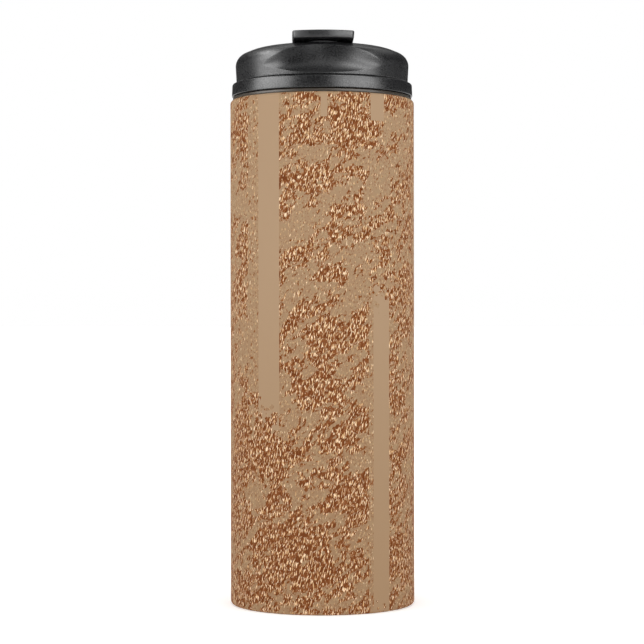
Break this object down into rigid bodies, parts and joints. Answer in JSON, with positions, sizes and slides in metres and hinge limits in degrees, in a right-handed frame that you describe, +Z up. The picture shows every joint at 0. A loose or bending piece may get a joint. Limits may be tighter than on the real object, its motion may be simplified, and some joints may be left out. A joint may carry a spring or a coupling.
{
  "type": "insulated tumbler",
  "caption": "Slim double-wall insulated tumbler with a screw-in lid and a flip tab that opens the drinking hole.",
  "frame": {"origin": "centre of the base, on the surface that the tumbler stands on", "axes": "+Z up along the tumbler's axis, the drinking hole and the tab's free end face -Y, +X to the viewer's right seen from the drinking side"},
  "size_m": [0.073, 0.073, 0.2242],
  "materials": {
    "printed_steel": "satin print of a tan ground with rust and gold foil flakes",
    "bare_steel": "brushed round the axis",
    "copper_foil": "thin copper foil",
    "getter": "pressed powder",
    "solder": "dull metal bead",
    "grey_silicone": "matte",
    "dark_silicone": "matte",
    "black_plastic": "fine satin grain",
    "tab_plastic": "satin",
    "white_foam": "closed-cell foam",
    "pin_steel": "ground"
  },
  "bodies": {
    "tumbler": {"outer_shell": "printed_steel", "inner_liner": "bare_steel", "foil_shield": "copper_foil", "base_plate": "bare_steel", "getter_clip": "bare_steel", "getter_pellet": "getter", "vacuum_seal": "solder", "base_cover": "bare_steel"},
    "seal_ring": {"lid_gasket": "grey_silicone"},
    "lid": {"lid_collar": "black_plastic", "lid_cap": "black_plastic", "lid_insulation": "white_foam", "plug_cover": "black_plastic", "spout_seal": "grey_silicone", "vent_seal": "grey_silicone", "hinge_pin": "pin_steel"},
    "tab": {"flip_tab": "tab_plastic", "drink_stopper": "dark_silicone", "vent_plug": "dark_silicone"}
  },
  "joints": [
    {"name": "lid_rise", "type": "slide", "parent": "tumbler", "child": "seal_ring", "axis": [0, 0, 1], "range_m": [0, 0.018]},
    {"name": "lid_twist", "type": "hinge", "parent": "seal_ring", "child": "lid", "pos_m": [0, 0, 0.2], "axis": [0, 0, 1], "range_deg": [0, 540]},
    {"name": "tab_flip", "type": "hinge", "parent": "lid", "child": "tab", "pos_m": [0, 0.005, 0.2178], "axis": [-1, 0, 0], "range_deg": [0, 135]}
  ],
  "couplings": [
    {"joint": "lid_rise", "follows": "lid_twist", "m_per_rad": 0.0019099}
  ]
}
